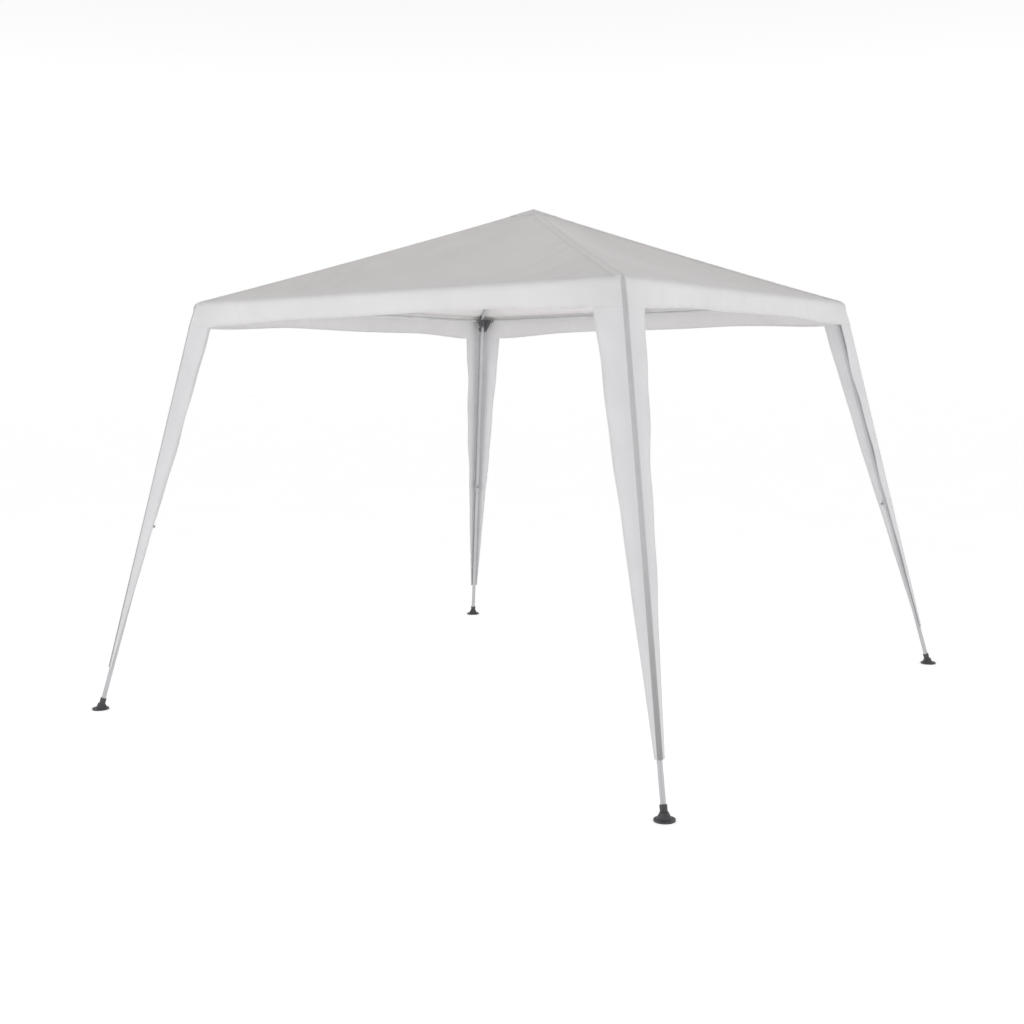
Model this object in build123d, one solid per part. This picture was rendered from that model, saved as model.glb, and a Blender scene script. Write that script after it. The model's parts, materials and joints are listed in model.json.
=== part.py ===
from build123d import *
import math
import os

# Slant-leg folding gazebo. Millimetres and degrees, +Z up.
# Origin: on the ground, under the peak. Front is -Y, right is +X.

# ---------------------------------------------------------------- canopy
CANOPY_HALF = 1200.0            # half the canopy's side
EAVE_Z = 1985.0                 # outer edge of the roof
PEAK_Z = 2455.0
VALANCE_DROP = 120.0
FABRIC = 1.5                    # roof and valance
COVER_FABRIC = 1.2              # leg covers

# ---------------------------------------------------------------- legs
LEG_PIVOT_HALF = 1160.0         # leg pivot, from the middle along X and along Y
LEG_PIVOT_Z = 1925.0
FOOT_HALF = 1565.0              # foot centre, from the middle along X and along Y
UPPER_R = 12.5
UPPER_LENGTH = 1080.0           # from the pivot down
LOWER_R = 10.8
LEG_WALL = 1.2
LEG_OVERLAP = 150.0             # lower tube inside the upper tube, legs fully out
LEG_TOP_END = 14.0              # tube past its pivot

# ---------------------------------------------------------------- collar, lock button and foot
COLLAR_R = 15.5
COLLAR_HEIGHT = 44.0
COLLAR_LIP = 12.0               # stands below the upper tube and guides the lower one
GUIDE_GAP = 0.1
BOSS_R = 8.0
BOSS_REACH = 19.5               # from the leg's axis
BUTTON_R = 5.0
BUTTON_TIP = 17.5               # from the leg's axis, not pressed
BUTTON_HEAD_AT = 24.0
BUTTON_HEAD_R = 7.0
BUTTON_HEAD_HEIGHT = 2.0
BUTTON_BORE_R = 5.1
FOOT_R = 40.5
FOOT_PLATE = 8.0
FOOT_CONE_BASE_R = 28.0
FOOT_CONE_TOP_R = 16.0
FOOT_CONE_TOP_Z = 32.0
FOOT_SOCKET_R = 14.5
FOOT_SOCKET_TOP = 58.0          # along the leg, from the ground
TUBE_SEAT = 22.0                # lower tube's end, along the leg from the ground
PEG_HOLE_R = 4.5
PEG_HOLE_OFFSET = 34.0          # from the foot's centre
PEG_HOLE_ANGLES = (90, 270)     # from the direction that points out of the gazebo

# ---------------------------------------------------------------- leg covers
COVER_TOP_Z = 1862.0
COVER_END_Z = 210.0
COVER_TOP_ARM = 148.0
COVER_END_ARM = 28.0
COVER_TOP_STANDOFF = 48.8       # leg axis to the inside of the cover, along X or along Y
COVER_END_STANDOFF = 14.0

# ---------------------------------------------------------------- rafters, eave bars and their hinges
BAR_R = 8.0
BAR_WALL = 1.0
BAR_END = 10.0                  # tube past its pivot
LAP_END = 14.0                  # tube past the hinge in the middle
RAFTER_DROP = 24.0              # hip line down to the rafters' axis
RAFTER_LANE = 9.0               # inner rafters lie this far to one side, outer ones to the other
EAVE_LANE = 8.4                 # the same for the two halves of an eave bar
EAVE_AXIS_Z = 1974.0
HUB_PIVOT_R = 55.0              # from the middle
RAFTER_PIVOT_INSET = 50.0       # leg pivot in to the outer rafter's pivot
FOLDED_ANGLE = 86.0             # folded rafters, from level
PIN_R = 3.0
LEG_PIN_R = 4.0
PIN_GAP = 0.06                  # all round a pin, in the part that turns
PIN_HEAD = 2.0
PIN_HEAD_RIM = 2.6
SIDE_GAP = 0.4                  # between a tube and the fork round it
LAP_GAP = 0.2                   # between a tube and a washer or rivet head
CHEEK = 3.8
FORK_CLEARANCE = 16.0           # pivot back to the floor of a fork

# ---------------------------------------------------------------- corner brackets and hub
BRACKET_CORE_R = 20.0
BRACKET_TOP_Z = 1983.5
BRACKET_ARM_Z = 1964.5          # underside of the arms
BRACKET_LOW_Z = 1908.0
BRACKET_RIB = 3.0               # half its thickness
LEG_BOSS_R = 9.0
LEG_BOSS_HALF = 23.0
LEG_SLOT_TOP_Z = 1946.0
HUB_R = 34.0
HUB_TOP_Z = 2424.0
HUB_LOW_Z = 2392.0
HUB_BORE_R = 12.0
DOME_R = 30.0
DOME_TOP_Z = 2447.0
DOME_RIM = 2.0
DOME_STEM_LENGTH = 18.0

CORNERS = {  # name: direction from the middle, then the eave bars that leave to its left and right
    "back_right": (45, "back_right", "right_back"),
    "back_left": (135, "left_back", "back_left"),
    "front_left": (225, "front_left", "left_front"),
    "front_right": (315, "right_front", "front_right"),
}

# ---------------------------------------------------------------- worked out
ROOT2 = math.sqrt(2)
LEG_R = LEG_PIVOT_HALF * ROOT2
FOOT_CENTRE_R = FOOT_HALF * ROOT2
ROOF_SLOPE = (PEAK_Z - EAVE_Z) / CANOPY_HALF
HIP_SLOPE = ROOF_SLOPE / ROOT2
HIP_ANGLE = math.degrees(math.atan(HIP_SLOPE))
RAFTER_PIVOT_R = LEG_R - RAFTER_PIVOT_INSET
RAFTER_SPAN = (RAFTER_PIVOT_R - HUB_PIVOT_R) / math.cos(math.radians(HIP_ANGLE))
INNER_TURN = FOLDED_ANGLE - HIP_ANGLE
OUTER_TURN = FOLDED_ANGLE + HIP_ANGLE
INNER_SPAN = RAFTER_SPAN * OUTER_TURN / (INNER_TURN + OUTER_TURN)
MID_PIVOT_R = HUB_PIVOT_R + INNER_SPAN * math.cos(math.radians(HIP_ANGLE))
EAVE_PIVOT_OFFSET = (HUB_PIVOT_R + RAFTER_PIVOT_INSET) / ROOT2
EAVE_HALF_SPAN = LEG_PIVOT_HALF - EAVE_PIVOT_OFFSET
SPLAY = math.degrees(math.atan((FOOT_CENTRE_R - LEG_R) / LEG_PIVOT_Z))
LEG_LENGTH = math.hypot(FOOT_CENTRE_R - LEG_R, LEG_PIVOT_Z)
FORK_HALF = BAR_R + SIDE_GAP + CHEEK
LEG_FRAME = Plane(
    origin=(LEG_R, 0, LEG_PIVOT_Z),
    x_dir=(math.cos(math.radians(SPLAY)), 0, math.sin(math.radians(SPLAY))),
    z_dir=(-math.sin(math.radians(SPLAY)), 0, math.cos(math.radians(SPLAY))),
)
ACROSS = (0, 1, 0)


# Each corner is built in its own frame: X points from the middle of the gazebo out to the
# corner, Y lies across that, and the corner is then turned about Z to its place.

def rafter_z(radius):
    return PEAK_Z - RAFTER_DROP - HIP_SLOPE * radius


def upright(origin, angle):
    """A vertical plane: its x runs along the compass angle, and its y runs up."""
    along = (math.cos(math.radians(angle)), math.sin(math.radians(angle)))
    return Plane(origin=(*origin, 0), x_dir=(*along, 0), z_dir=(along[1], -along[0], 0))


def tube(start, end, radius, wall):
    start, end = Vector(*start), Vector(*end)
    ring = Circle(radius) - Circle(radius - wall)
    return extrude(Plane(origin=start, z_dir=end - start) * ring, (end - start).length)


def rod(centre, direction, radius, half_length):
    return Plane(origin=centre, z_dir=direction) * Cylinder(radius, 2 * half_length)


def rivet(centre, direction, radius, half_length):
    """A pin with a flat head at each end, outside half_length."""
    head = Cylinder(radius + PIN_HEAD_RIM, PIN_HEAD)
    reach = half_length + PIN_HEAD / 2
    shape = Cylinder(radius, 2 * half_length) + Pos(0, 0, reach) * head + Pos(0, 0, -reach) * head
    return Plane(origin=centre, z_dir=direction) * shape


def prism(plane, points, half_width):
    return extrude(plane * make_face(Polyline(*points, close=True)), half_width, both=True)


def slot(plane, start, end, low, high, half_width):
    return prism(plane, [(start, low), (end, low), (end, high), (start, high)], half_width)


def point_on(plane, x, z):
    return plane.from_local_coords((x, z, 0))


# ---------------------------------------------------------------- hub
def hub_arm_plane():
    return upright((0, -RAFTER_LANE), 0)


def center_hub():
    height = HUB_TOP_Z - HUB_LOW_Z
    hub = Pos(0, 0, HUB_LOW_Z + height / 2) * Cylinder(HUB_R, height)
    pivot_z = rafter_z(HUB_PIVOT_R)
    arm_half = BAR_END
    slots = []
    plane = hub_arm_plane()
    outline = [
        (0, pivot_z - arm_half),
        (HUB_PIVOT_R, pivot_z - arm_half),
        (HUB_PIVOT_R, pivot_z + arm_half),
        (HUB_R, HUB_TOP_Z),
        (0, HUB_TOP_Z),
    ]
    arm = prism(plane, outline, FORK_HALF)
    arm += rod(point_on(plane, HUB_PIVOT_R, pivot_z), ACROSS, arm_half, FORK_HALF)
    opening = slot(
        plane, HUB_PIVOT_R - FORK_CLEARANCE, HUB_PIVOT_R + 2 * arm_half,
        HUB_LOW_Z - 1, PEAK_Z, BAR_R + SIDE_GAP,
    )
    opening += rod(point_on(plane, HUB_PIVOT_R, pivot_z), ACROSS, PIN_R, 2 * FORK_HALF)
    for angle, *_ in CORNERS.values():
        hub += arm.rotate(Axis.Z, angle)
        slots.append(opening.rotate(Axis.Z, angle))
    for opening in slots:
        hub -= opening
    return hub - Pos(0, 0, PEAK_Z / 2) * Cylinder(HUB_BORE_R, 2 * PEAK_Z)


def peak_dome():
    """A mushroom cap whose stem fills the hub's bore. It holds the fabric's peak up."""
    lift = (Align.CENTER, Align.CENTER, Align.MIN)
    rim_z = HUB_TOP_Z + DOME_RIM
    rise = DOME_TOP_Z - rim_z
    crown_r = (DOME_R**2 + rise**2) / (2 * rise)
    above_rim = Pos(0, 0, rim_z) * Box(2 * crown_r, 2 * crown_r, 2 * crown_r, align=lift)
    crown = (Pos(0, 0, DOME_TOP_Z - crown_r) * Sphere(crown_r)) & above_rim
    rim = Pos(0, 0, HUB_TOP_Z) * Cylinder(DOME_R, DOME_RIM, align=lift)
    stem = Pos(0, 0, HUB_TOP_Z - DOME_STEM_LENGTH) * Cylinder(HUB_BORE_R, DOME_STEM_LENGTH, align=lift)
    return crown + rim + stem


def hub_pins():
    centre = point_on(hub_arm_plane(), HUB_PIVOT_R, rafter_z(HUB_PIVOT_R))
    pin = rivet(centre, ACROSS, PIN_R, FORK_HALF)
    return Compound([pin.rotate(Axis.Z, angle) for angle, *_ in CORNERS.values()])


# ---------------------------------------------------------------- rafters
def rafter_point(radius, lane):
    return Vector(radius, lane, rafter_z(radius))


def rafter(start_r, end_r, lane, start_past, end_past, loose_ends, fixed_ends):
    """A tube along the hip. It turns on the pins at loose_ends and holds those at fixed_ends."""
    start, end = rafter_point(start_r, lane), rafter_point(end_r, lane)
    along = (end - start).normalized()
    shape = tube(start - along * start_past, end + along * end_past, BAR_R, BAR_WALL)
    for radius in loose_ends:
        shape -= rod(rafter_point(radius, lane), ACROSS, PIN_R + PIN_GAP, 2 * BAR_R)
    for radius in fixed_ends:
        shape -= rod(rafter_point(radius, lane), ACROSS, PIN_R, 2 * BAR_R)
    return shape


def rafter_inner():
    return rafter(HUB_PIVOT_R, MID_PIVOT_R, -RAFTER_LANE, BAR_END, LAP_END,
                  [HUB_PIVOT_R], [MID_PIVOT_R])


def rafter_outer():
    return rafter(MID_PIVOT_R, RAFTER_PIVOT_R, RAFTER_LANE, LAP_END, BAR_END,
                  [MID_PIVOT_R, RAFTER_PIVOT_R], [])


def rafter_knuckle():
    """The rivet that joins the two rafters, with the washer that keeps their tubes apart."""
    centre = rafter_point(MID_PIVOT_R, 0)
    washer = rod(centre, ACROSS, BAR_R, RAFTER_LANE - BAR_R - LAP_GAP)
    return rivet(centre, ACROSS, PIN_R, RAFTER_LANE + BAR_R + LAP_GAP) + washer


# ---------------------------------------------------------------- corner bracket
def eave_arm_plane(side):
    """Side 1 is the arm to the corner's left, -1 the one to its right, seen from the middle."""
    heading = math.radians(side * 135)
    across = (-math.sin(heading), math.cos(heading))
    return upright((LEG_R + EAVE_LANE * across[0], EAVE_LANE * across[1]), side * 135)


def rafter_arm_plane():
    return upright((LEG_R, RAFTER_LANE), 180)


def eave_arm(plane):
    half = BAR_END - 0.5
    arm = [
        (0, BRACKET_ARM_Z),
        (EAVE_PIVOT_OFFSET, BRACKET_ARM_Z),
        (EAVE_PIVOT_OFFSET, BRACKET_TOP_Z),
        (0, BRACKET_TOP_Z),
    ]
    rib = [
        (0, BRACKET_LOW_Z),
        (BRACKET_CORE_R, BRACKET_LOW_Z),
        (EAVE_PIVOT_OFFSET - FORK_CLEARANCE, BRACKET_ARM_Z),
        (0, BRACKET_ARM_Z),
    ]
    end = rod(point_on(plane, EAVE_PIVOT_OFFSET, EAVE_AXIS_Z), plane.z_dir, half, FORK_HALF)
    return prism(plane, arm, FORK_HALF) + end + prism(plane, rib, BRACKET_RIB)


def corner_bracket():
    height = BRACKET_TOP_Z - BRACKET_LOW_Z
    bracket = Pos(LEG_R, 0, BRACKET_LOW_Z + height / 2) * Cylinder(BRACKET_CORE_R, height)
    bracket += rod((LEG_R, 0, LEG_PIVOT_Z), ACROSS, LEG_BOSS_R, LEG_BOSS_HALF)
    openings = []
    for side in (1, -1):
        plane = eave_arm_plane(side)
        bracket += eave_arm(plane)
        pivot = point_on(plane, EAVE_PIVOT_OFFSET, EAVE_AXIS_Z)
        openings.append(slot(plane, EAVE_PIVOT_OFFSET - FORK_CLEARANCE, 2 * EAVE_PIVOT_OFFSET,
                             BRACKET_LOW_Z, PEAK_Z, BAR_R + SIDE_GAP))
        openings.append(rod(pivot, plane.z_dir, PIN_R, 2 * FORK_HALF))
    plane = rafter_arm_plane()
    pivot_z = rafter_z(RAFTER_PIVOT_R)
    arm = [
        (0, BRACKET_ARM_Z),
        (RAFTER_PIVOT_INSET - FORK_CLEARANCE, BRACKET_ARM_Z),
        (RAFTER_PIVOT_INSET, pivot_z - BAR_END),
        (RAFTER_PIVOT_INSET, pivot_z + BAR_END),
        (0, BRACKET_TOP_Z),
    ]
    pivot = point_on(plane, RAFTER_PIVOT_INSET, pivot_z)
    bracket += prism(plane, arm, FORK_HALF) + rod(pivot, ACROSS, BAR_END, FORK_HALF)
    openings.append(slot(plane, RAFTER_PIVOT_INSET - FORK_CLEARANCE, 2 * RAFTER_PIVOT_INSET,
                         BRACKET_LOW_Z, PEAK_Z, BAR_R + SIDE_GAP))
    openings.append(rod(pivot, ACROSS, PIN_R, 2 * FORK_HALF))
    openings.append(slot(upright((LEG_R, 0), 0), -3 * BRACKET_CORE_R, 3 * BRACKET_CORE_R,
                         BRACKET_LOW_Z, LEG_SLOT_TOP_Z, UPPER_R + SIDE_GAP))
    openings.append(rod((LEG_R, 0, LEG_PIVOT_Z), ACROSS, LEG_PIN_R, 2 * LEG_BOSS_HALF))
    for opening in openings:
        bracket -= opening
    return bracket


def corner_pins():
    plane = rafter_arm_plane()
    pins = [
        rivet((LEG_R, 0, LEG_PIVOT_Z), ACROSS, LEG_PIN_R, LEG_BOSS_HALF),
        rivet(point_on(plane, RAFTER_PIVOT_INSET, rafter_z(RAFTER_PIVOT_R)), ACROSS, PIN_R, FORK_HALF),
    ]
    for side in (1, -1):
        plane = eave_arm_plane(side)
        pivot = point_on(plane, EAVE_PIVOT_OFFSET, EAVE_AXIS_Z)
        pins.append(rivet(pivot, plane.z_dir, PIN_R, FORK_HALF))
    return Compound(pins)


def eave_bar(side):
    """Half of an eave bar. A rivet head marks the hinge in the middle of the whole bar."""
    plane = eave_arm_plane(side)
    pivot = point_on(plane, EAVE_PIVOT_OFFSET, EAVE_AXIS_Z)
    middle = point_on(plane, LEG_PIVOT_HALF, EAVE_AXIS_Z)
    along = (middle - pivot).normalized()
    bar = tube(pivot - along * BAR_END, middle + along * LAP_END, BAR_R, BAR_WALL)
    bar -= rod(pivot, plane.z_dir, PIN_R + PIN_GAP, 2 * BAR_R)
    away = plane.z_dir * -1
    head = Plane(origin=middle + away * (BAR_R - BAR_WALL), z_dir=away)
    cap = Cylinder(PIN_R + PIN_HEAD_RIM, PIN_HEAD + BAR_WALL, align=(Align.CENTER, Align.CENTER, Align.MIN))
    return bar + head * cap


# ---------------------------------------------------------------- legs, in LEG_FRAME: X outwards, Z up the leg
def leg_upper():
    shape = tube((0, 0, -UPPER_LENGTH), (0, 0, LEG_TOP_END), UPPER_R, LEG_WALL)
    return LEG_FRAME * (shape - rod((0, 0, 0), ACROSS, LEG_PIN_R + PIN_GAP, 2 * UPPER_R))


def leg_lower():
    top = LEG_OVERLAP - UPPER_LENGTH
    return LEG_FRAME * tube((0, 0, TUBE_SEAT - LEG_LENGTH), (0, 0, top), LOWER_R, LEG_WALL)


def leg_collar():
    low = -UPPER_LENGTH - COLLAR_LIP
    middle = low + COLLAR_HEIGHT / 2
    shape = Pos(0, 0, middle) * Cylinder(COLLAR_R, COLLAR_HEIGHT)
    shape += rod((-BOSS_REACH / 2, 0, middle + COLLAR_LIP / 2), (1, 0, 0), BOSS_R, BOSS_REACH / 2)
    shape = fillet(shape.edges().filter_by(GeomType.CIRCLE).group_by(Axis.Z)[0], 1.5)
    shape -= Pos(0, 0, -UPPER_LENGTH + COLLAR_HEIGHT / 2) * Cylinder(UPPER_R, COLLAR_HEIGHT)
    shape -= Pos(0, 0, middle) * Cylinder(LOWER_R + GUIDE_GAP, 2 * COLLAR_HEIGHT)
    shape -= rod((-BOSS_REACH, 0, middle + COLLAR_LIP / 2), (1, 0, 0), BUTTON_BORE_R, BOSS_REACH - UPPER_R)
    return LEG_FRAME * shape


def lock_button():
    height = -UPPER_LENGTH - COLLAR_LIP / 2 + COLLAR_HEIGHT / 2
    shaft_middle = -(BUTTON_TIP + BUTTON_HEAD_AT) / 2
    head_middle = -(BUTTON_HEAD_AT + BUTTON_HEAD_HEIGHT / 2)
    shape = rod((shaft_middle, 0, height), (1, 0, 0), BUTTON_R, (BUTTON_HEAD_AT - BUTTON_TIP) / 2)
    shape += rod((head_middle, 0, height), (1, 0, 0), BUTTON_HEAD_R, BUTTON_HEAD_HEIGHT / 2)
    return LEG_FRAME * fillet(shape.edges().group_by(Axis.X)[0], 1.0)


def foot():
    lift = (Align.CENTER, Align.CENTER, Align.MIN)
    cone_height = FOOT_CONE_TOP_Z - FOOT_PLATE
    cone_r = FOOT_CENTRE_R - (FOOT_CONE_TOP_Z / 2) * math.tan(math.radians(SPLAY))
    shape = Pos(FOOT_CENTRE_R, 0, 0) * Cylinder(FOOT_R, FOOT_PLATE, align=lift)
    shape = fillet(shape.edges().group_by(Axis.Z)[-1], 2.0)
    shape += Pos(cone_r, 0, FOOT_PLATE) * Cone(FOOT_CONE_BASE_R, FOOT_CONE_TOP_R, cone_height, align=lift)
    low = FOOT_PLATE + LOWER_R
    socket_middle = (low + FOOT_SOCKET_TOP) / 2 - LEG_LENGTH
    shape += LEG_FRAME * rod((0, 0, socket_middle), (0, 0, 1), FOOT_SOCKET_R, (FOOT_SOCKET_TOP - low) / 2)
    seat = Pos(0, 0, TUBE_SEAT - LEG_LENGTH) * Cylinder(LOWER_R, 2 * FOOT_SOCKET_TOP, align=lift)
    shape -= LEG_FRAME * seat
    for angle in PEG_HOLE_ANGLES:
        x = FOOT_CENTRE_R + PEG_HOLE_OFFSET * math.cos(math.radians(angle))
        y = PEG_HOLE_OFFSET * math.sin(math.radians(angle))
        shape -= Pos(x, y, 0) * Cylinder(PEG_HOLE_R, 4 * FOOT_PLATE)
    return shape


def leg_cover():
    """A V of cloth: its fold runs down the outside of the leg, and its two arms taper."""
    sections = []
    for z, arm, standoff in ((COVER_END_Z, COVER_END_ARM, COVER_END_STANDOFF),
                             (COVER_TOP_Z, COVER_TOP_ARM, COVER_TOP_STANDOFF)):
        leg_r = LEG_R + (LEG_PIVOT_Z - z) * math.tan(math.radians(SPLAY))
        fold = leg_r + (standoff + COVER_FABRIC) * ROOT2
        reach = arm / ROOT2
        edge = COVER_FABRIC / ROOT2
        outline = [
            (fold, 0),
            (fold - reach, reach),
            (fold - reach - edge, reach - edge),
            (fold - 2 * edge, 0),
            (fold - reach - edge, edge - reach),
            (fold - reach, -reach),
        ]
        sections.append(Plane.XY.offset(z) * make_face(Polyline(*outline, close=True)))
    return loft(sections, ruled=True)


# ---------------------------------------------------------------- canopy
def canopy_roof():
    corner = CANOPY_HALF
    triangle = Polyline((0, 0, PEAK_Z), (corner, -corner, EAVE_Z), (corner, corner, EAVE_Z), close=True)
    panel = extrude(make_face(triangle), FABRIC, dir=(0, 0, -1))
    return Compound([panel.rotate(Axis.Z, quarter) for quarter in (0, 90, 180, 270)])


def canopy_valance():
    top = EAVE_Z - FABRIC
    low = EAVE_Z - VALANCE_DROP
    middle = (top + low) / 2
    full = 2 * CANOPY_HALF
    across = Box(full, FABRIC, top - low)
    between = Box(FABRIC, full - 2 * FABRIC, top - low)
    reach = CANOPY_HALF - FABRIC / 2
    return Compound([
        Pos(0, -reach, middle) * across,
        Pos(0, reach, middle) * across,
        Pos(-reach, 0, middle) * between,
        Pos(reach, 0, middle) * between,
    ])


# ---------------------------------------------------------------- nodes
def write(name, shape):
    export_step(shape, f"parts/{name}.step")


os.makedirs("parts", exist_ok=True)

for builder in (center_hub, peak_dome, hub_pins, canopy_roof, canopy_valance):
    write(builder.__name__, builder())

corner_parts = {
    builder.__name__: builder()
    for builder in (rafter_inner, rafter_outer, rafter_knuckle, corner_bracket, corner_pins,
                    leg_upper, leg_collar, lock_button, leg_lower, foot, leg_cover)
}
eave_bars = (eave_bar(1), eave_bar(-1))

for corner, (turn, left_bar, right_bar) in CORNERS.items():
    for name, shape in corner_parts.items():
        write(f"{name}_{corner}", shape.rotate(Axis.Z, turn))
    for name, shape in zip((left_bar, right_bar), eave_bars):
        write(f"eave_bar_{name}", shape.rotate(Axis.Z, turn))

print(f"splay {SPLAY:.3f}  leg length {LEG_LENGTH:.1f}  hip {HIP_ANGLE:.3f}  inner turn {INNER_TURN:.3f}")
print(f"outer turn {OUTER_TURN:.3f}  inner rafter {INNER_SPAN:.1f}  whole rafter {RAFTER_SPAN:.1f}")
print(f"mid pivot r {MID_PIVOT_R:.1f}  eave pivot offset {EAVE_PIVOT_OFFSET:.2f}  half {EAVE_HALF_SPAN:.2f}")
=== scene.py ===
import json
import math

import bpy
import numpy as np
from mathutils import Matrix, Vector
from mathutils.bvhtree import BVHTree


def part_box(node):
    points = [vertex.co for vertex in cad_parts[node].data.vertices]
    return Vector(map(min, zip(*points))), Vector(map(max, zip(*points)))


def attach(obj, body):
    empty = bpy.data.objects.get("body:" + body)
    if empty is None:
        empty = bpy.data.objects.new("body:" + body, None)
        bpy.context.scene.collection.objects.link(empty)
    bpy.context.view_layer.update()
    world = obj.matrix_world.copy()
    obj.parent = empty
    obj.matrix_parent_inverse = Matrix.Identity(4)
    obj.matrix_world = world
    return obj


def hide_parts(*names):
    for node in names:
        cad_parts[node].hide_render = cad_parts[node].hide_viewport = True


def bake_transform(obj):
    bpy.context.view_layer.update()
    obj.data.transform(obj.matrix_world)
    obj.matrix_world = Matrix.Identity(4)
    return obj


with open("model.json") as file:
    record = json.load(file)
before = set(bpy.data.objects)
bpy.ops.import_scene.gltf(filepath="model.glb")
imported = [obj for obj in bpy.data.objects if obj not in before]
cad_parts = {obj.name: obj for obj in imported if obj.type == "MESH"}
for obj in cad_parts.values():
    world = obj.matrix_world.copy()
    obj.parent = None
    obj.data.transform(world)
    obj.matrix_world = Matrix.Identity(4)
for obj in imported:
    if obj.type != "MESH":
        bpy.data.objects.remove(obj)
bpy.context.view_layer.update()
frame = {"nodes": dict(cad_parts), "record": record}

CORNERS = {"back_right": 45, "back_left": 135, "front_left": 225, "front_right": 315}
ROOT2 = math.sqrt(2)

# ---------------------------------------------------------------- places, read from the frame
ROOF_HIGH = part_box("canopy_roof")[1]
VALANCE_LOW, VALANCE_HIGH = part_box("canopy_valance")
ROOF_LAP = 0.0015               # the roof's cloth lies this far above the valance's top
HALF = ROOF_HIGH.x
PEAK_Z = ROOF_HIGH.z
EAVE_Z = VALANCE_HIGH.z + ROOF_LAP
HEM_Z = VALANCE_LOW.z

# ---------------------------------------------------------------- camera and light
CAMERA_AT = (3.72, -5.66, 1.57)
CAMERA_HEADING = math.atan2(0.565, 0.825)
CAMERA_PITCH = math.radians(-5.53)
CAMERA_ROLL = math.radians(-0.72)
CAMERA_LENS = 46.1
CAMERA_SENSOR = 36.0
CAMERA_CLIP = 500.0
FLOOR_HALF = 200.0
FLOOR_GLOW = 0.48
TENT_BAND = (0.22, 0.85)        # sine of the height where the white starts and stops falling off
TENT_TOP = (0.38, 0.38, 0.38)
TENT_STRENGTH = 1.0
LAMP_SIZE = 4.0
LAMP_TARGET = (0, 0, 1.8)
KEY_AT, KEY_POWER = (-3.5, -8.5, 3.2), 72.0
FILL_AT, FILL_POWER = (8.0, -1.0, 3.0), 40.0


# ---------------------------------------------------------------- small tools
CRISP = math.radians(50)        # edges sharper than this aren't shaded smooth


def smoothstep(low, high, x):
    t = np.clip((x - low) / (high - low), 0.0, 1.0)
    return t * t * (3 - 2 * t)


def mesh_piece(name, points, faces, materials=(), face_slots=None):
    mesh = bpy.data.meshes.new(name)
    mesh.from_pydata([tuple(p) for p in points], [], [tuple(f) for f in faces])
    for material in materials:
        mesh.materials.append(material)
    if face_slots is not None:
        mesh.polygons.foreach_set("material_index", np.asarray(face_slots, np.int32))
    mesh.polygons.foreach_set("use_smooth", [True] * len(mesh.polygons))
    mesh.update()
    piece = bpy.data.objects.new(name, mesh)
    bpy.context.scene.collection.objects.link(piece)
    return piece


def grid_faces(rows, columns):
    """Quads of a grid whose points are listed row by row."""
    return [
        (r * columns + c, r * columns + c + 1, (r + 1) * columns + c + 1, (r + 1) * columns + c)
        for r in range(rows - 1)
        for c in range(columns - 1)
    ]


def apply_modifiers(piece):
    """Leaves the piece with its evaluated mesh and no modifiers."""
    graph = bpy.context.evaluated_depsgraph_get()
    shaped = bpy.data.meshes.new_from_object(piece.evaluated_get(graph))
    old = piece.data
    piece.modifiers.clear()
    piece.data = shaped
    bpy.data.meshes.remove(old)


def thicken(piece, thickness, offset=-1.0):
    """Gives a sheet its thickness: all of it inwards, or half each way where the offset is 0."""
    solid = piece.modifiers.new("thickness", "SOLIDIFY")
    solid.thickness = thickness
    solid.offset = offset
    apply_modifiers(piece)
    piece.data.set_sharp_from_angle(angle=CRISP)


# ---------------------------------------------------------------- materials
class Nodes:
    """A material's node tree, built by short calls."""

    def __init__(self, name):
        self.material = bpy.data.materials.new(name)
        self.material.use_nodes = True
        self.tree = self.material.node_tree
        self.shader = self.tree.nodes["Principled BSDF"]
        self.place = self.add("ShaderNodeTexCoord").outputs["Object"]

    def add(self, kind, inputs=None, **settings):
        node = self.tree.nodes.new(kind)
        for key, value in settings.items():
            setattr(node, key, value)
        for key, value in (inputs or {}).items():
            if isinstance(value, bpy.types.NodeSocket):
                self.tree.links.new(value, node.inputs[key])
            else:
                node.inputs[key].default_value = value
        return node

    def set(self, **values):
        for key, value in values.items():
            socket = self.shader.inputs[key.replace("_", " ").title().replace("Ior", "IOR")]
            if isinstance(value, bpy.types.NodeSocket):
                self.tree.links.new(value, socket)
            else:
                socket.default_value = value

    def stretch(self, factors):
        return self.add("ShaderNodeMapping", {"Vector": self.place, "Scale": factors}).outputs[0]

    def noise(self, scale, detail=4.0, roughness=0.55, vector=None, distortion=0.0):
        node = self.add("ShaderNodeTexNoise", {
            "Vector": vector or self.place, "Scale": scale, "Detail": detail,
            "Roughness": roughness, "Distortion": distortion,
        })
        return node.outputs["Fac"]

    def ramp(self, value, stops):
        node = self.add("ShaderNodeValToRGB", {"Fac": value})
        ramp = node.color_ramp
        for index, (place, colour) in enumerate(stops):
            element = ramp.elements[index] if index < 2 else ramp.elements.new(place)
            element.position = place
            element.color = (*colour, 1.0)
        return node.outputs["Color"]

    def maths(self, operation, *values):
        node = self.add("ShaderNodeMath", operation=operation)
        for index, value in enumerate(values):
            if isinstance(value, bpy.types.NodeSocket):
                self.tree.links.new(value, node.inputs[index])
            else:
                node.inputs[index].default_value = value
        return node.outputs[0]

    def level(self, value, low, high):
        node = self.add("ShaderNodeMapRange", {"Value": value, "To Min": low, "To Max": high})
        return node.outputs["Result"]

    def bump(self, height, strength, distance, under=None):
        inputs = {"Height": height, "Strength": strength, "Distance": distance}
        if under is not None:
            inputs["Normal"] = under
        return self.add("ShaderNodeBump", inputs).outputs["Normal"]


def tinted(colour, factor):
    return tuple(min(1.0, channel * factor) for channel in colour)


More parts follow.
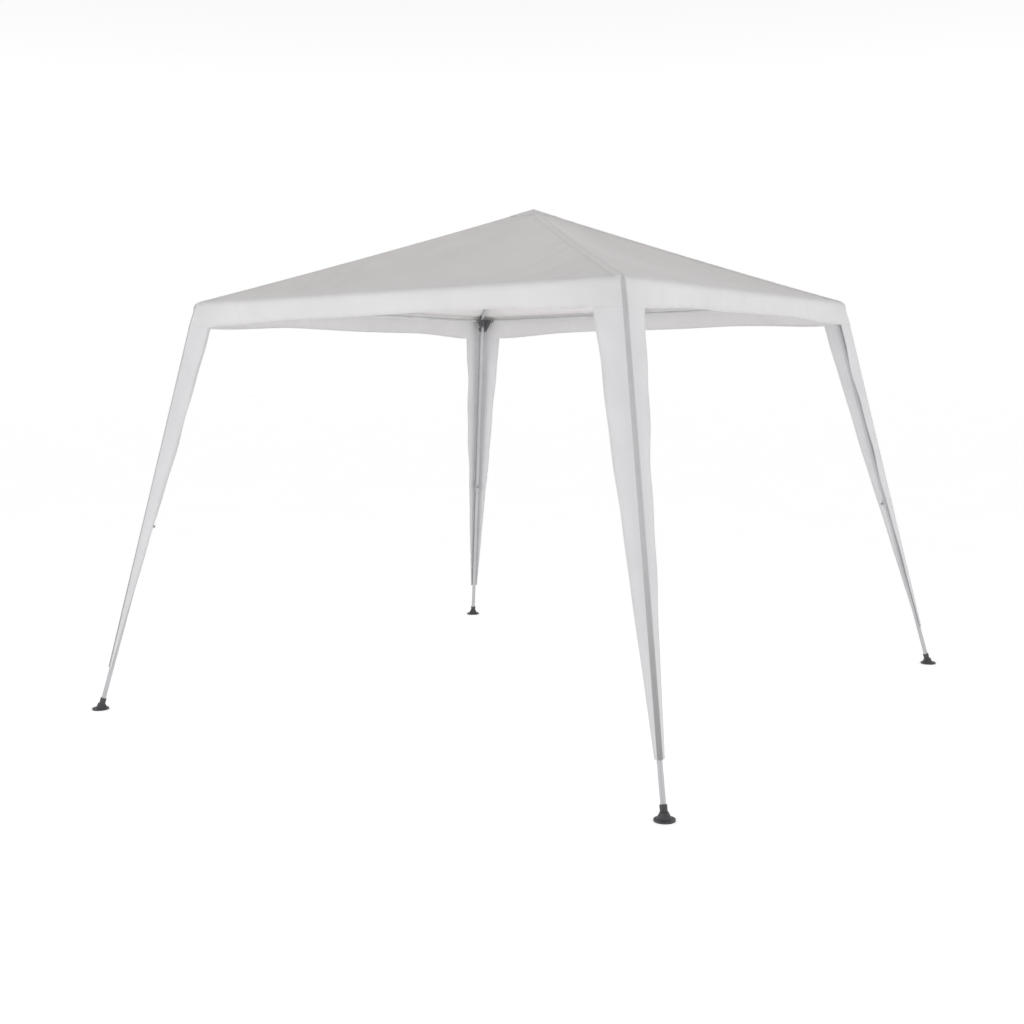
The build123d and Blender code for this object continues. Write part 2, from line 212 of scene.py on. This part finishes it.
TAPES = 110.0                   # scale of the woven tapes
THIN = 0.45                     # share of the light that may go through the cloth
THIN_REACH = (1.0, 1.0, 1.0)
THIN_SCALE = 0.002


def fabric(name, colour, crease=1.0):
    """Coated woven polyethylene: flat crossing tapes, soft creases and a slight sheen."""
    n = Nodes(name)
    across_x, across_y, across_z = (
        n.add("ShaderNodeTexWave", {"Vector": n.place, "Scale": TAPES, "Distortion": 0.3},
              wave_type="BANDS", bands_direction=axis).outputs["Fac"]
        for axis in "XYZ"
    )
    weave = n.maths("ADD", n.maths("MAXIMUM", across_x, across_y), across_z)
    crumple = n.noise(7.0, detail=5.0, roughness=0.5, distortion=0.6)
    cloud = n.noise(1.6, detail=3.0)
    tone = n.ramp(n.maths("MULTIPLY", cloud, crumple), [
        (0.12, tinted(colour, 0.955)),
        (0.40, tinted(colour, 1.02)),
    ])
    n.set(
        base_color=tone,
        roughness=n.level(crumple, 0.42, 0.58),
        normal=n.bump(weave, 0.10, 0.0006, n.bump(crumple, 0.35 * crease, 0.006)),
    )
    n.set(ior=1.45, sheen_weight=0.12, sheen_roughness=0.4)
    n.set(subsurface_weight=THIN, subsurface_radius=THIN_REACH, subsurface_scale=THIN_SCALE)
    return n.material


PAINTED_FOOT_SHADE_BAND = (0.2, 1.0)         # height where the painted shade on the folds is darkest, and where it has faded out


def stitched(name, colour, painted_foot_shade=1.0):
    """Folded and sewn fabric: denser than the panels, with small stitches, and darker near the ground
    as painted shade where painted_foot_shade is below 1.
    """
    n = Nodes(name)
    stitch = n.noise(420.0, detail=1.0)
    crumple = n.noise(18.0, detail=4.0)
    tone = n.ramp(crumple, [(0.25, tinted(colour, 0.93)), (0.75, tinted(colour, 1.02))])
    # painted shade: the colour darkens towards the ground, standing in for the shade on the covers'
    # lower parts
    height = n.add("ShaderNodeSeparateXYZ", {"Vector": n.place}).outputs["Z"]
    low, high = PAINTED_FOOT_SHADE_BAND
    shade_scale = n.add("ShaderNodeMapRange", {
        "Value": height, "From Min": low, "From Max": high, "To Min": painted_foot_shade,
    }).outputs["Result"]
    greyed = n.add("ShaderNodeVectorMath", {0: tone, "Scale": shade_scale}, operation="SCALE")
    n.set(
        base_color=greyed.outputs["Vector"],
        roughness=n.level(crumple, 0.5, 0.66),
        normal=n.bump(stitch, 0.25, 0.0008, n.bump(crumple, 0.4, 0.003)),
    )
    n.set(ior=1.45, sheen_weight=0.1)
    return n.material


def steel(name, colour, metal=0.6):
    """Powder-coated tube with faint drawn streaks, rubbed a little shinier here and there."""
    n = Nodes(name)
    grain = n.noise(900.0, detail=2.0)
    rub = n.noise(9.0, detail=5.0, vector=n.stretch((1.0, 1.0, 0.25)))
    tone = n.ramp(rub, [(0.3, tinted(colour, 0.90)), (0.7, tinted(colour, 1.08))])
    n.set(
        base_color=tone,
        roughness=n.level(rub, 0.28, 0.46),
        normal=n.bump(grain, 0.06, 0.0002),
    )
    n.set(metallic=metal, ior=1.5)
    return n.material


def moulded(name, colour, rough=0.5):
    """Moulded plastic with a fine spark-eroded texture and dusty wear."""
    n = Nodes(name)
    grain = n.noise(1400.0, detail=2.0)
    wear = n.noise(38.0, detail=6.0, roughness=0.65)
    tone = n.ramp(wear, [(0.35, tinted(colour, 0.85)), (0.72, tinted(colour, 1.35))])
    n.set(
        base_color=tone,
        roughness=n.level(wear, rough - 0.08, rough + 0.12),
        normal=n.bump(grain, 0.12, 0.0003),
    )
    n.set(ior=1.46)
    return n.material


def zinc(name, colour):
    """Zinc-plated rivets, slightly mottled."""
    n = Nodes(name)
    mottle = n.noise(160.0, detail=4.0)
    tone = n.ramp(mottle, [(0.3, tinted(colour, 0.85)), (0.7, tinted(colour, 1.05))])
    n.set(base_color=tone, roughness=n.level(mottle, 0.25, 0.42), normal=n.bump(mottle, 0.05, 0.0002))
    n.set(metallic=1.0)
    return n.material


FABRIC_ROOF = fabric("roof_fabric", (0.715, 0.69, 0.685))
FABRIC_VALANCE = fabric("valance_fabric", (0.72, 0.71, 0.712), crease=1.3)
FABRIC_COVER = fabric("cover_fabric", (0.70, 0.70, 0.715), crease=1.5)
SEAM = stitched("seam_fabric", (0.80, 0.785, 0.78))
HEM = stitched("hem_fabric", (0.71, 0.70, 0.705))
# darker fold cloth on a real sewn fold: its colour is painted shade of the leg pole seen through the
# thin cover and of the fold itself; it also darkens towards the ground as painted shade
SHADED_FOLD = stitched("fold_painted_shade", (0.53, 0.53, 0.54), painted_foot_shade=0.62)
CAD_FINISHES = {
    "hub_plastic": moulded("hub_plastic", (0.085, 0.085, 0.09)),
    "bracket_plastic": moulded("bracket_plastic", (0.12, 0.12, 0.128)),
    "steel_tube": steel("steel_tube", (0.51, 0.515, 0.53), metal=0.35),
    # a lighter copy of the steel finish: painted light for the eave bars and rafters that sit in shade
    # under the roof
    "frame_tube": steel("frame_tube", (0.58, 0.585, 0.595), metal=0.2),
    "zinc_rivet": zinc("zinc_rivet", (0.60, 0.61, 0.63)),
    "grey_plastic": moulded("grey_plastic", (0.46, 0.465, 0.48)),
    "black_plastic": moulded("black_plastic", (0.055, 0.055, 0.06), rough=0.46),
    "button_plastic": moulded("button_plastic", (0.26, 0.27, 0.29), rough=0.36),
}


LIGHTENED_TUBES = ("eave_bar", "rafter_inner", "rafter_outer")   # tubes given the lighter frame_tube finish, painted light against the shade under the roof


def finish_cad_nodes():
    """Every CAD node takes its slot's finish; the soft ones have none, as sheets stand for them."""
    for row in frame["record"]["subparts"]:
        # eave bars and rafters take the lighter copy of the steel, painted light
        lightened = row["node"].startswith(LIGHTENED_TUBES)
        finish = CAD_FINISHES.get("frame_tube" if lightened else row["material_slot"])
        node = frame["nodes"][row["node"]]
        if finish is None:
            continue
        if not node.material_slots:
            node.data.materials.append(finish)
        for slot in node.material_slots:
            slot.material = finish


# ---------------------------------------------------------------- leg covers' outlines
NEAR = 0.001                    # points closer than this count as level, or as on a line


def cover_outline(corner, degrees):
    """The cover's two ends on its corner's diagonal: height, distance out to the fold, arm length."""
    back = Matrix.Rotation(math.radians(-degrees), 3, "Z")
    shape = np.array([back @ v.co for v in frame["nodes"][f"leg_cover_{corner}"].data.vertices])
    ends = []
    for z in (shape[:, 2].max(), shape[:, 2].min()):
        level = shape[np.abs(shape[:, 2] - z) < NEAR]
        ends.append((z, level[:, 0].max(), level[:, 1].max() * ROOT2))
    return ends


def cover_at(ends, z):
    """The fold's distance out and the arm's length at a height."""
    (z0, fold0, arm0), (z1, fold1, arm1) = ends
    t = (z0 - z) / (z0 - z1)
    return fold0 + (fold1 - fold0) * t, arm0 + (arm1 - arm0) * t


# ---------------------------------------------------------------- canopy
FLAT_CELLS = 88
EDGE_STEPS = (0.0, 0.003, 0.008, 0.015, 0.024, 0.040)   # grid lines in from each eave
SEAM_STEP, ROLL_STEP = 3, 4     # the steps where the corner's darker seam strip (painted shade) and the eave's roll end
EAVE_ROUND = (0.024, 0.020)     # the roll over the eave: in, down
VALANCE_ROWS = 8
HIP_SAG = 0.008
HIP_SAG_SHAPE = 0.8             # below 1 the sag is flatter in its middle
HEM_RISE = 0.018                # the valance is this much shorter between the legs
HEM_RISE_END = 0.7              # from a corner to where the hem is at its highest
HEM_WAVE = (0.0025, 5.1)        # height, and radians per metre round the eaves
HOLD_FADE = 0.28                # past a cover's arm, its hold on the valance fades over this
SLOW_RIPPLE = (0.0035, 7.3)     # height, and radians per metre round the eaves
QUICK_RIPPLE = (0.002, 17.0)
QUICK_RIPPLE_START = 0.7        # radians
RIPPLE_DRIFT = (1.1, 2.1)       # bends the slow ripple, so that it doesn't repeat
RIPPLE_IN = 0.006               # the loose valance hangs this far inside the eave
SEAM_PINCH = 0.003              # the corner's seam draws the cloth in
SEAM_PINCH_WIDTH = 0.006
SEAM_PINCH_START = 0.25         # share of the valance's depth before it is fully drawn in
CLOTH = 0.0007
SETTLE_FRAMES = 24
SETTLE_SHRINK = -0.004          # the cloth is cut this share too large
ON_HIP = 1e-6
LEAST_HOLD = 0.02               # a point held less firmly than this hangs free


def grid_lines():
    near = -HALF + np.array(EDGE_STEPS)
    flat = np.linspace(near[-1], -near[-1], FLAT_CELLS + 1)
    return np.concatenate([near[:-1], flat, -near[:-1][::-1]])


LINES = grid_lines()
CELLS = len(LINES) - 1
COVER_ENDS = cover_outline("back_right", CORNERS["back_right"])
COVER_FOLD, COVER_ARM = cover_at(COVER_ENDS, HEM_Z)
CORNER_LAP = 0.001              # the valance's corner stands this far outside the cover's fold
CORNER_PULL = COVER_FOLD / ROOT2 - HALF + CORNER_LAP
ABOVE_ROOF = 4.0
SEWN_CLOTH = 0.0012             # two layers
SEWN_RISE = 0.0016              # a sewn-on strip's middle, above the roof
HIP_SEAM_OFFSETS = (-0.026, -0.020, -0.014, -0.009, -0.004)
HIP_SEAM_ROWS = 240
HIP_SEAM_GAP = 0.002            # from the peak's patch to the seam
HIP_SEAM_INSET = 0.005          # from the eave to the seam's end
PATCH_HALF = 0.085
PATCH_LINES = 17
ROOF_SLOT, VALANCE_SLOT, HEM_SLOT, SHADED_FOLD_SLOT = range(4)
CANOPY_MATERIALS = [FABRIC_ROOF, FABRIC_VALANCE, HEM, SHADED_FOLD]


def roof_height(x, y):
    """The stretched cover before it settles: straight, low along the hips, rolled over the eaves."""
    reach = max(abs(x), abs(y)) / HALF
    straight = PEAK_Z - (PEAK_Z - EAVE_Z) * reach
    sag = HIP_SAG * math.sin(math.pi * reach) ** HIP_SAG_SHAPE
    across, down = EAVE_ROUND
    share = max(0.0, 1 - (1 - reach) * HALF / across)
    return straight - sag - down * (1 - math.sqrt(1 - min(1.0, share) ** 2))


def perimeter():
    """Grid indices round the eaves, from the front left corner towards +X and on round."""
    n = CELLS
    ring = [(i, 0) for i in range(n)] + [(n, j) for j in range(n)]
    return ring + [(n - i, n) for i in range(n)] + [(0, n - j) for j in range(n)]


def held(from_corner):
    """How firmly the legs' covers hold the valance, this far from a corner."""
    return 1 - float(smoothstep(COVER_ARM, COVER_ARM + HOLD_FADE, from_corner))


def ripple_at(along):
    """How far the loose valance stands out from its eave, at a distance round the eaves."""
    tall, wide = SLOW_RIPPLE
    low, tight = QUICK_RIPPLE
    bend, drift = RIPPLE_DRIFT
    slow = tall * math.sin(along * wide + bend * math.sin(along * drift))
    return slow + low * math.sin(along * tight + QUICK_RIPPLE_START) - RIPPLE_IN


def valance_point(top, along, depth):
    """A point below the eave point top: the covers pull the corners out, the rest ripples."""
    x, y, z = top
    from_corner = HALF - min(abs(x), abs(y))
    hold = held(from_corner)
    loose = 1 - hold
    height, turns = HEM_WAVE
    hem = HEM_Z + HEM_RISE * float(smoothstep(COVER_ARM, HEM_RISE_END, from_corner))
    hem += height * loose * math.sin(along * turns)
    outwards = CORNER_PULL * hold + loose * ripple_at(along)
    sideways = CORNER_PULL * (1 - float(smoothstep(0.0, COVER_ARM + HOLD_FADE, from_corner)))
    drawn = SEAM_PINCH * math.exp(-(from_corner / SEAM_PINCH_WIDTH) ** 2)
    pinch = drawn * min(1.0, depth / SEAM_PINCH_START)
    on_x_eave = abs(abs(x) - HALF) < abs(abs(y) - HALF)
    out_x, out_y = (outwards, sideways) if on_x_eave else (sideways, outwards)
    return (
        x + math.copysign(out_x * depth - pinch, x),
        y + math.copysign(out_y * depth - pinch, y),
        z + (hem - z) * depth,
    )


def roof_slot(outline):
    """The roll over the eave is the valance's cloth, and the corner's seam starts on it in the darker
    fold cloth, whose colour is painted shade.
    """
    if min(min(abs(x), abs(y)) for x, y, _ in outline) > HALF - EDGE_STEPS[SEAM_STEP] - NEAR:
        return SHADED_FOLD_SLOT
    if min(max(abs(x), abs(y)) for x, y, _ in outline) > HALF - EDGE_STEPS[ROLL_STEP] - NEAR:
        return VALANCE_SLOT
    return ROOF_SLOT


def grid_index(i, j):
    """Where the roof's grid point is in the list of points."""
    return j * (CELLS + 1) + i


def roof_faces():
    """The roof's cells, split along the hips where one crosses them."""
    faces = []
    for j in range(CELLS):
        for i in range(CELLS):
            a, b = grid_index(i, j), grid_index(i + 1, j)
            c, d = grid_index(i + 1, j + 1), grid_index(i, j + 1)
            if i == j:
                faces += [(a, b, c), (a, c, d)]
            elif i + j == CELLS - 1:
                faces += [(a, b, d), (b, c, d)]
            else:
                faces.append((a, b, c, d))
    return faces


def distances_round(outline):
    """Each point's distance along a closed outline, from its first point."""
    distances = [0.0]
    for here, following in zip(outline, outline[1:]):
        distances.append(distances[-1] + math.dist(here, following))
    return distances


def valance_slot(row, from_corner):
    # the valance's corner strip takes the darker fold cloth, painted shade
    if from_corner < EDGE_STEPS[SEAM_STEP] - NEAR:
        return SHADED_FOLD_SLOT
    if row == VALANCE_ROWS and from_corner > COVER_ARM:
        return HEM_SLOT
    return VALANCE_SLOT


def canopy_mesh():
    """One sheet: the roof's grid, and the valance's rows hanging from its edge."""
    points = [(x, y, roof_height(x, y)) for y in LINES for x in LINES]
    faces = roof_faces()
    slots = [roof_slot([points[index] for index in face]) for face in faces]
    ring = [grid_index(i, j) for i, j in perimeter()]
    count = len(ring)
    eave = [points[index] for index in ring]
    from_corner = [HALF - min(abs(x), abs(y)) for x, y, _ in eave]
    distances = distances_round(eave)
    above = ring
    for row in range(1, VALANCE_ROWS + 1):
        below = list(range(len(points), len(points) + count))
        points += [valance_point(top, along, row / VALANCE_ROWS) for top, along in zip(eave, distances)]
        for k in range(count):
            following = (k + 1) % count
            faces.append((above[k], below[k], below[following], above[following]))
            slots.append(valance_slot(row, min(from_corner[k], from_corner[following])))
        above = below
    return points, faces, slots, ring


def settle(piece, pinned):
    """Lets the cloth sag under its own weight between the points that hold it."""
    group = piece.vertex_groups.new(name="held")
    for index, weight in pinned.items():
        group.add([index], weight, "REPLACE")
    cloth = piece.modifiers.new("cloth", "CLOTH")
    settings = cloth.settings
    settings.quality = 6
    settings.mass = 0.12
    settings.tension_stiffness = 40
    settings.compression_stiffness = 20
    settings.shear_stiffness = 15
    settings.bending_stiffness = 0.5
    settings.air_damping = 2.0
    settings.shrink_min = SETTLE_SHRINK
    settings.vertex_group_mass = "held"
    settings.pin_stiffness = 1.0
    cloth.collision_settings.use_collision = False
    cloth.collision_settings.use_self_collision = False
    cloth.point_cache.frame_start = 1
    cloth.point_cache.frame_end = SETTLE_FRAMES + 1
    scene = bpy.context.scene
    for step in range(1, SETTLE_FRAMES + 1):
        scene.frame_set(step)
    apply_modifiers(piece)
    scene.frame_set(1)
    piece.vertex_groups.clear()


def held_points(points, ring):
    """How firmly each point is held: the hips and eaves by the frame, the valance by the covers."""
    grid = (CELLS + 1) ** 2
    pinned = {}
    for index, (x, y, _) in enumerate(points[:grid]):
        on_hip = abs(abs(x) - abs(y)) < ON_HIP
        if on_hip or HALF - max(abs(x), abs(y)) < EDGE_STEPS[ROLL_STEP] + NEAR:
            pinned[index] = 1.0
    for index in range(grid, len(points)):
        x, y, _ = points[ring[(index - grid) % len(ring)]]
        hold = held(HALF - min(abs(x), abs(y)))
        if hold > LEAST_HOLD:
            pinned[index] = hold
    return pinned


def canopy_sheet():
    points, faces, slots, ring = canopy_mesh()
    piece = mesh_piece("canopy_sheet", points, faces, CANOPY_MATERIALS, slots)
    pinned = held_points(points, ring)
    settle(piece, pinned)
    return piece


def height_on(tree, x, y):
    """The roof's height at a place, met from above."""
    return tree.ray_cast(Vector((x, y, ABOVE_ROOF)), Vector((0, 0, -1)))[0].z


def sewn_on(tree, name, places, columns):
    """A strip of doubled cloth on the roof, over a grid of (x, y) places."""
    points = [(x, y, height_on(tree, x, y) + SEWN_RISE) for x, y in places]
    strip = mesh_piece(name, points, grid_faces(len(places) // columns, columns), [SEAM])
    thicken(strip, SEWN_CLOTH, offset=0.0)
    return strip


def hip_seam(tree, corner, degrees):
    """The panels' seam allowance, turned to one side of the hip and sewn down."""
    along = np.array([math.cos(math.radians(degrees)), math.sin(math.radians(degrees))])
    across = np.array([-along[1], along[0]])
    inside = HALF - HIP_SEAM_INSET
    reaches = np.linspace(PATCH_HALF * ROOT2 + HIP_SEAM_GAP, inside * ROOT2, HIP_SEAM_ROWS)
    places = [
        np.clip(along * reach + across * offset, -inside, inside)
        for reach in reaches
        for offset in HIP_SEAM_OFFSETS
    ]
    return sewn_on(tree, f"hip_seam_{corner}", places, len(HIP_SEAM_OFFSETS))


def peak_patch(tree):
    """The square of doubled fabric sewn over the peak."""
    side = np.linspace(-PATCH_HALF, PATCH_HALF, PATCH_LINES)
    return sewn_on(tree, "peak_patch", [(x, y) for y in side for x in side], len(side))


def build_canopy():
    sheet = canopy_sheet()
    tree = BVHTree.FromPolygons([v.co.copy() for v in sheet.data.vertices],
                                [tuple(f.vertices) for f in sheet.data.polygons])
    trims = [hip_seam(tree, corner, degrees) for corner, degrees in CORNERS.items()]
    trims.append(peak_patch(tree))
    thicken(sheet, CLOTH)
    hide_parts("canopy_roof", "canopy_valance")
    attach(sheet, "canopy")
    for trim in trims:
        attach(trim, "canopy")


# ---------------------------------------------------------------- leg covers
COVER_ROWS = 96
ARM_COLUMNS = 10
FOLD_STEPS = (0.0, 0.003, 0.007, 0.011, 0.015)
FOLD_SHARE = 0.5                # where an arm is narrow, the fold's steps take this share of it
HEM_WIDTH = 0.012
HEM_SHARE = 0.2
FOLD_ROUND = 0.010
COVER_LAP = 0.004               # a cover reaches this far up behind the valance
ARM_FULLNESS = 0.06             # the arms' edges bow out this much half way down
SLACK_IN = 0.004                # a loose edge hangs this far in towards the leg
SLACK_FROM = (0.02, 0.12)       # from the fold, where the cloth is still held and where it is loose
SLACK_BELOW = 0.12              # share of the length below the valance before it is fully loose
LONG_WAVE = (0.0045, 9.0, 7.0, 2.2)    # height, radians per metre down and across, arm's own part
SHORT_WAVE = (0.003, 23.0, -11.0, 1.3)
WAVE_FADE = 0.5                 # the waves lose this share of their height by the foot
CORNER_PHASE = 0.37             # turns each corner's waves, so that no two covers are alike
PANEL_SLOT, EDGE_SLOT, SHADED_CREASE_SLOT = range(3)
COVER_MATERIALS = [FABRIC_COVER, HEM, SHADED_FOLD]


def arm_steps(arm):
    """Distances along an arm from the fold: fine across the fold's seam, one step for the hem."""
    near = np.array(FOLD_STEPS) * min(1.0, FOLD_SHARE * arm / FOLD_STEPS[-1])
    hem = arm - min(HEM_WIDTH, HEM_SHARE * arm)
    return np.concatenate([near, np.linspace(near[-1], hem, ARM_COLUMNS)[1:], [arm]])


def wave(shape, side, s, z, phase):
    """One of the arm's waves, s from the fold at height z; side is -1 or 1."""
    height, down, across, own = shape
    return height * math.sin(down * z + own * side + phase + across * s)


def slack(side, s, z, t, phase):
    """How far an arm's cloth stands out, s from the fold and a share t down the leg."""
    waves = wave(LONG_WAVE, side, s, z, phase) + wave(SHORT_WAVE, side, s, z, 2 * phase)
    free = float(smoothstep(*SLACK_FROM, s)) * float(smoothstep(0.0, SLACK_BELOW, t))
    return free * (waves * (1 - WAVE_FADE * t) - SLACK_IN)


def cover_row(ends, t, phase):
    """One level of the V, from one arm's edge to the other's."""
    top_z = HEM_Z + COVER_LAP
    z = top_z + (ends[1][0] - top_z) * t
    fold, arm = cover_at(ends, z)
    arm *= 1 + ARM_FULLNESS * math.sin(math.pi * t)
    row = []
    steps = arm_steps(arm)
    for side, distances in ((-1, steps[:0:-1]), (1, steps)):
        for s in distances:
            x = fold - s / ROOT2 - FOLD_ROUND * 0.5 * math.exp(-s / FOLD_ROUND)
            push = slack(side, s, z, t, phase)
            row.append((x + push / ROOT2, side * (s + push) / ROOT2, z))
    return row


def cover_slot(row, column, columns):
    from_fold = abs(column + 0.5 - (columns - 1) / 2)
    # the strip along the fold takes the darker fold cloth, painted shade
    if from_fold < len(FOLD_STEPS) - 1:
        return SHADED_CREASE_SLOT
    if column in (0, columns - 2) or row == COVER_ROWS - 1:
        return EDGE_SLOT
    return PANEL_SLOT


def leg_cover(corner, degrees):
    """A V of cloth round the outside of a leg, built on the corner's diagonal and then turned."""
    turn = Matrix.Rotation(math.radians(degrees), 3, "Z")
    ends = cover_outline(corner, degrees)
    phase = degrees * CORNER_PHASE
    rows = [cover_row(ends, row / COVER_ROWS, phase) for row in range(COVER_ROWS + 1)]
    columns = len(rows[0])
    points = [turn @ Vector(p) for row in rows for p in row]
    faces = grid_faces(len(rows), columns)
    slots = [cover_slot(*divmod(face[0], columns), columns) for face in faces]
    piece = mesh_piece(f"leg_cover_sheet_{corner}", points, faces, COVER_MATERIALS, slots)
    thicken(piece, CLOTH)
    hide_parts(f"leg_cover_{corner}")
    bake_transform(piece)


# ---------------------------------------------------------------- stage
def stage():
    """A white sweep that glows a little, as a lit studio floor does."""
    n = Nodes("floor")
    tone = n.ramp(n.noise(0.8), [(0.3, (0.86, 0.86, 0.86)), (0.7, (0.88, 0.88, 0.88))])
    n.set(base_color=tone, roughness=0.9, emission_strength=FLOOR_GLOW)
    n.set(emission_color=(1.0, 1.0, 1.0, 1.0), specular_ior_level=0.1)
    signs = ((-1, -1), (1, -1), (1, 1), (-1, 1))
    outline = [(x * FLOOR_HALF, y * FLOOR_HALF, 0) for x, y in signs]
    floor = mesh_piece("floor", outline, [(0, 1, 2, 3)], [n.material])


def area_light(name, place, power):
    """A square softbox turned towards the gazebo."""
    light = bpy.data.lights.new(name, "AREA")
    light.shape = "SQUARE"
    light.size = LAMP_SIZE
    light.energy = power
    lamp = bpy.data.objects.new(name, light)
    bpy.context.scene.collection.objects.link(lamp)
    lamp.location = place
    ray = Vector(LAMP_TARGET) - Vector(place)
    lamp.rotation_euler = ray.to_track_quat("-Z", "Y").to_euler()


def lights():
    """A studio tent: white at the horizon, dimmer overhead, with a broad soft lamp each side."""
    world = bpy.data.worlds.new("studio")
    bpy.context.scene.world = world
    world.use_nodes = True
    tree = world.node_tree
    background = tree.nodes["Background"]
    coordinate = tree.nodes.new("ShaderNodeTexCoord")
    split = tree.nodes.new("ShaderNodeSeparateXYZ")
    ramp = tree.nodes.new("ShaderNodeValToRGB")
    tree.links.new(coordinate.outputs["Generated"], split.inputs[0])
    tree.links.new(split.outputs["Z"], ramp.inputs["Fac"])
    tree.links.new(ramp.outputs["Color"], background.inputs["Color"])
    low, high = ramp.color_ramp.elements
    low.position, high.position = TENT_BAND
    low.color = (1.0, 1.0, 1.0, 1.0)
    high.color = (*TENT_TOP, 1.0)
    background.inputs["Strength"].default_value = TENT_STRENGTH
    area_light("key", KEY_AT, KEY_POWER)
    area_light("fill", FILL_AT, FILL_POWER)


def camera():
    data = bpy.data.cameras.new("camera")
    data.lens = CAMERA_LENS
    data.sensor_width = CAMERA_SENSOR
    data.clip_end = CAMERA_CLIP
    eye = bpy.data.objects.new("camera", data)
    bpy.context.scene.collection.objects.link(eye)
    heading = Matrix.Rotation(CAMERA_HEADING, 4, "Z")
    pitch = Matrix.Rotation(math.radians(90) + CAMERA_PITCH, 4, "X")
    roll = Matrix.Rotation(CAMERA_ROLL, 4, "Z")
    eye.matrix_world = Matrix.Translation(CAMERA_AT) @ heading @ pitch @ roll
    bpy.context.scene.camera = eye


camera()
lights()
stage()
finish_cad_nodes()
build_canopy()
for corner_name, corner_degrees in CORNERS.items():
    leg_cover(corner_name, corner_degrees)

bpy.context.scene.view_settings.view_transform = "Standard"
